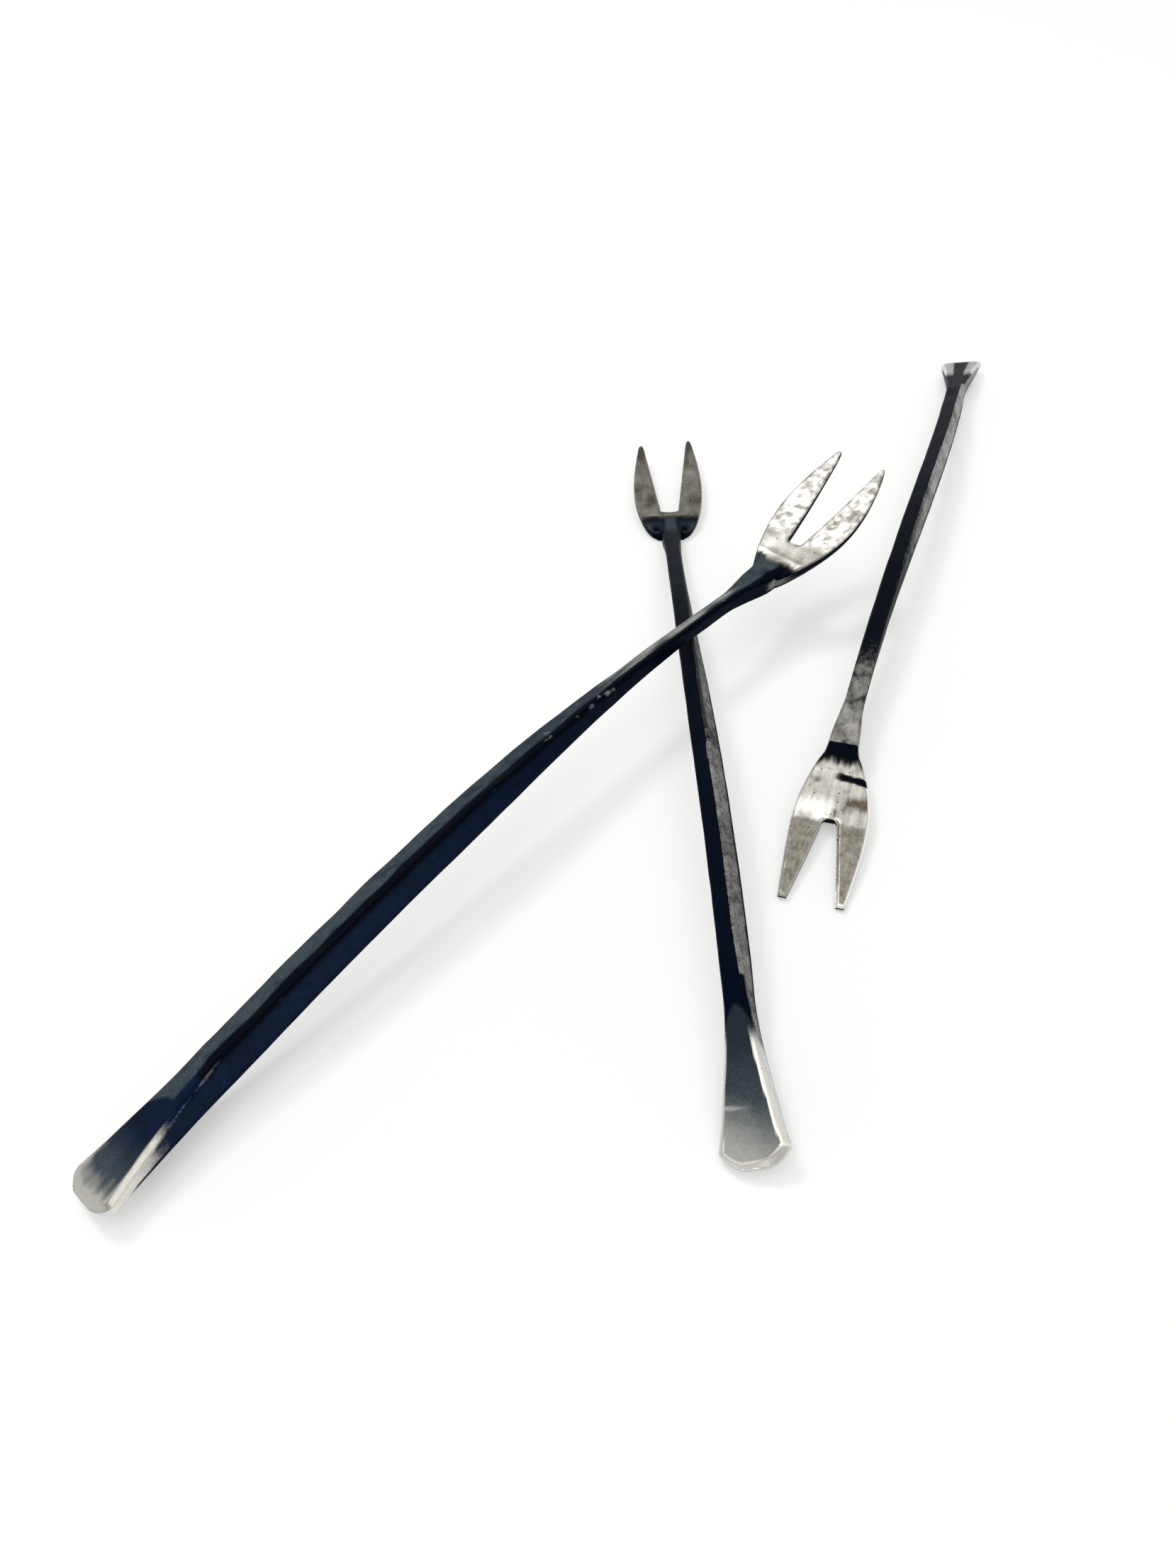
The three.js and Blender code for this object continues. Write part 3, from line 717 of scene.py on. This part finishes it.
# The dust grey also stands for the painted sheen on the left fork's shank top
DUST_AND_SHEEN_GREY = (0.052, 0.07, 0.08, 1)
SILVER = (0.93, 0.915, 0.87, 1)
TARNISH_BROWN = (0.1, 0.085, 0.058, 1)

# How its grains are stretched along the fork, across it and through it
EVEN = (1.0, 1.0, 1.0)
ALONG_FORK = (0.22, 3.0, 3.0)
ACROSS_FORK = (6.0, 0.5, 0.5)


def metal():
    """Blackened metal: silver where the masks say it is bright, painted highlights included, else dark
    patina, in places dusty grey or with a painted sheen.
    """
    material = bpy.data.materials.new("blackened_metal")
    material.use_nodes = True
    n = Nodes(material.node_tree)
    inputs = n.tree.nodes["Principled BSDF"].inputs
    place = n.attribute("on_fork", "Vector")
    bright, dust_and_sheen, stain, blue = (n.attribute(label) for label in Paint.LABELS)
    speckle = n.grain(place, EVEN, 3.2, 5.0)
    blotch = n.grain(place, EVEN, 0.8, 4.0)
    streak = n.grain(place, ALONG_FORK, 1.3, 4.0)
    scratch = n.grain(place, ACROSS_FORK, 1.0, 3.0)

    # How much bare metal or painted highlight shows, with a ragged edge that the dusty grey and painted
    # sheen make calmer
    ragged = n.maths("ADD", n.between(speckle, -0.13, 0.13), n.between(blotch, -0.2, 0.2))
    ragged = n.maths("MULTIPLY", ragged, n.between(dust_and_sheen, 1.0, 0.2))
    bare_and_highlit = n.ramp(n.maths("ADD", bright, ragged), 0.16, 0.84)
    # The dusty share also carries the painted sheen on the left fork's shank top
    dusty = n.maths("MULTIPLY", dust_and_sheen, n.between(speckle, 0.3, 1.5), True)

    # Brown tarnish on the bare metal, in blotches, streaks and pits
    tarnish = n.maths("ADD", n.between(blotch, -0.17, 0.17), n.between(streak, -0.17, 0.17))
    tarnish = n.maths("ADD", tarnish, n.between(scratch, -0.09, 0.09))
    pits = n.add("ShaderNodeTexVoronoi", {"Vector": n.stretched(place, EVEN), "Scale": 0.75})
    off_pits = n.between(n.ramp(pits.outputs["Distance"], 0.05, 0.13), -0.55, 0.0)
    tarnish = n.maths("SUBTRACT", tarnish, off_pits)
    tarnish = n.maths("MULTIPLY", tarnish, n.between(dust_and_sheen, 1.0, 0.1))
    browned = n.maths("ADD", stain, tarnish, True)

    navy = n.blend(n.ramp(blotch, 0.3, 0.7), DEEP_NAVY, PALE_NAVY)
    patina = n.blend(dusty, n.blend(blue, BLACK_PATINA_AND_DARK_REFLECTION, navy), DUST_AND_SHEEN_GREY)
    n.feed(inputs["Base Color"], n.blend(bare_and_highlit, patina, n.blend(browned, SILVER, TARNISH_BROWN)))
    n.feed(inputs["Metallic"], n.maths("MULTIPLY", bare_and_highlit, 0.75))
    polish = n.maths("ADD", n.between(streak, 0.16, 0.34), n.between(speckle, -0.04, 0.1))
    n.feed(inputs["Roughness"], n.blend(bare_and_highlit, n.between(dusty, 0.4, 0.8), polish, "FLOAT"))
    n.feed(inputs["Specular IOR Level"], 0.022)
    n.feed(inputs["Specular Tint"], (0.8, 0.9, 1.0, 1))

    relief = n.maths("ADD", n.between(scratch, 0.0, 0.4), n.between(speckle, 0.0, 0.6))
    relief = n.maths("ADD", relief, n.between(streak, 0.0, 0.5))
    bump = n.add("ShaderNodeBump", {"Height": relief, "Strength": 0.5, "Distance": 0.03 * MM})
    n.feed(inputs["Normal"], bump.outputs["Normal"])
    return material


def join_halves(mesh):
    """Joins the two halves along the middle line, drops unused points and turns every face outwards."""
    work = bmesh.new()
    work.from_mesh(mesh)
    loose = [point for point in work.verts if not point.link_faces]
    bmesh.ops.delete(work, geom=loose, context="VERTS")
    bmesh.ops.remove_doubles(work, verts=work.verts, dist=JOIN_DISTANCE)
    bmesh.ops.recalc_face_normals(work, faces=work.faces)
    work.to_mesh(mesh)
    work.free()
    mesh.shade_smooth()
    mesh.set_sharp_from_angle(angle=SHARP_ANGLE)


def forge(name, size, material):
    """Makes one fork where its CAD solid lies."""
    form = Form(size)
    slot_ring, places, s, y, edge = skin(form)
    heading = Matrix.Rotation(math.radians(form.heading), 3, "Z")
    turn = heading @ Matrix.Rotation(-math.radians(form.lean), 3, "Y")
    lying = places.reshape(-1, 3) @ np.array(turn).T + np.array(form.place)
    mesh = bpy.data.meshes.new(name + "_forged")
    mesh.from_pydata((lying * MM).tolist(), [], faces_of(places.shape[1], slot_ring))
    for label, mask in zip(Paint.LABELS, painted(name, form, s, y, edge)):
        layer = mesh.attributes.new(label, "FLOAT", "POINT")
        layer.data.foreach_set("value", mask.ravel().astype(np.float32))
    layer = mesh.attributes.new("on_fork", "FLOAT_VECTOR", "POINT")
    layer.data.foreach_set("vector", places.ravel().astype(np.float32))
    join_halves(mesh)
    mesh.materials.append(material)
    piece = bpy.data.objects.new(name + "_forged", mesh)
    bpy.context.scene.collection.objects.link(piece)
    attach(piece, name)
    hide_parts(name)


TABLE_REACH = 3.0
TABLE_DEPTH = 0.05 * MM     # the table lies this far below the forks' lowest points
TABLE_WHITE = (0.93, 0.935, 0.93, 1)
TABLE_LIFT = 0.4            # share of pure white that is laid over the table and its shadows
WHITE = (1, 1, 1, 1)


def table_white():
    """White that is lifted a part of the way to pure white, so that only soft shadows are left."""
    material = bpy.data.materials.new("white_table")
    material.use_nodes = True
    n = Nodes(material.node_tree)
    plain = n.tree.nodes["Principled BSDF"]
    n.feed(plain.inputs["Base Color"], TABLE_WHITE)
    n.feed(plain.inputs["Roughness"], 0.9)
    n.feed(plain.inputs["Specular IOR Level"], 0.1)
    rays = n.add("ShaderNodeLightPath").outputs
    seen = n.maths("MAXIMUM", rays["Is Glossy Ray"], rays["Is Transmission Ray"])
    seen = n.maths("MAXIMUM", rays["Is Camera Ray"], seen)
    glow = n.add("ShaderNodeEmission", {"Color": WHITE, "Strength": 1.0})
    lifted = n.add("ShaderNodeMixShader", {
        0: n.maths("MULTIPLY", seen, TABLE_LIFT), 1: plain.outputs["BSDF"], 2: glow.outputs["Emission"]})
    n.feed(n.tree.nodes["Material Output"].inputs["Surface"], lifted.outputs["Shader"])
    return material


def lay_table():
    mesh = bpy.data.meshes.new("table")
    corners = [(-1, -1), (1, -1), (1, 1), (-1, 1)]
    mesh.from_pydata([(x * TABLE_REACH, y * TABLE_REACH, 0) for x, y in corners], [], [range(4)])
    mesh.materials.append(table_white())
    table = bpy.data.objects.new("table", mesh)
    table.location.z = -TABLE_DEPTH
    bpy.context.scene.collection.objects.link(table)


# The sky's brightness from the horizon, which is white behind the table, to straight up
SKY_STRENGTH = 1.28
HORIZON = 0.77
OVERHEAD = 1.65
SKY_LEVELS = ((0.34, HORIZON), (0.46, 0.25), (0.7, 0.38), (0.82, 0.74), (0.9, 1.12))
SKY_TINT = (1.0, 0.99, 0.97)


def hang_sky():
    world = bpy.data.worlds.new("soft_sky")
    bpy.context.scene.world = world
    world.use_nodes = True
    n = Nodes(world.node_tree)
    direction = n.add("ShaderNodeTexCoord").outputs["Generated"]
    height = n.add("ShaderNodeSeparateXYZ", {"Vector": direction}).outputs["Z"]
    tone = n.add("ShaderNodeValToRGB", {"Fac": height})
    horizon, overhead = tone.color_ramp.elements
    horizon.color = (HORIZON, HORIZON, HORIZON, 1)
    overhead.color = (OVERHEAD, OVERHEAD, OVERHEAD, 1)
    for position, level in SKY_LEVELS:
        stop = tone.color_ramp.elements.new(position)
        stop.color = (*(level * tint for tint in SKY_TINT), 1)
    background = n.tree.nodes["Background"].inputs
    n.feed(background["Color"], tone.outputs["Color"])
    n.feed(background["Strength"], SKY_STRENGTH)


WINDOW_AZIMUTH = math.radians(137)
WINDOW_ELEVATION = math.radians(61)
WINDOW_DISTANCE = 0.7
WINDOW_SIZE = 0.14
WINDOW_POWER = 1.15


def light_window():
    light = bpy.data.lights.new("window", "AREA")
    light.energy = WINDOW_POWER
    light.size = WINDOW_SIZE
    window = bpy.data.objects.new("window", light)
    east = math.cos(WINDOW_ELEVATION) * math.cos(WINDOW_AZIMUTH)
    north = math.cos(WINDOW_ELEVATION) * math.sin(WINDOW_AZIMUTH)
    towards = Vector((east, north, math.sin(WINDOW_ELEVATION)))
    window.location = towards * WINDOW_DISTANCE
    window.rotation_euler = (-towards).to_track_quat("-Z", "Y").to_euler()
    bpy.context.scene.collection.objects.link(window)


# The camera that fits the outlines: focal length in pixels of a frame this high, place and angles
FOCUS_PIXELS = 1640.0
PICTURE_HEIGHT = 2212.0
SENSOR = 36.0
NEAREST = 0.005
CAMERA_PLACE = Vector((-14.46, -143.6, 120.3))
LOOK_DOWN = math.radians(45.96)
TILT = math.radians(-3.8)


def place_camera():
    lens = bpy.data.cameras.new("camera")
    lens.sensor_width = SENSOR
    lens.lens = FOCUS_PIXELS / PICTURE_HEIGHT * SENSOR
    lens.clip_start = NEAREST
    camera = bpy.data.objects.new("camera", lens)
    bpy.context.scene.collection.objects.link(camera)
    level = Vector((1, 0, 0))
    raised = Vector((0, math.sin(LOOK_DOWN), math.cos(LOOK_DOWN)))
    across = level * math.cos(TILT) + raised * math.sin(TILT)
    upward = raised * math.cos(TILT) - level * math.sin(TILT)
    turned = Matrix((across, upward, across.cross(upward))).transposed().to_4x4()
    camera.matrix_world = Matrix.Translation(CAMERA_PLACE * MM) @ turned
    bpy.context.scene.camera = camera


material = metal()
for name, size in FORKS.items():
    forge(name, size, material)
lay_table()
hang_sky()
light_window()
place_camera()
bpy.context.scene.view_settings.view_transform = "Standard"
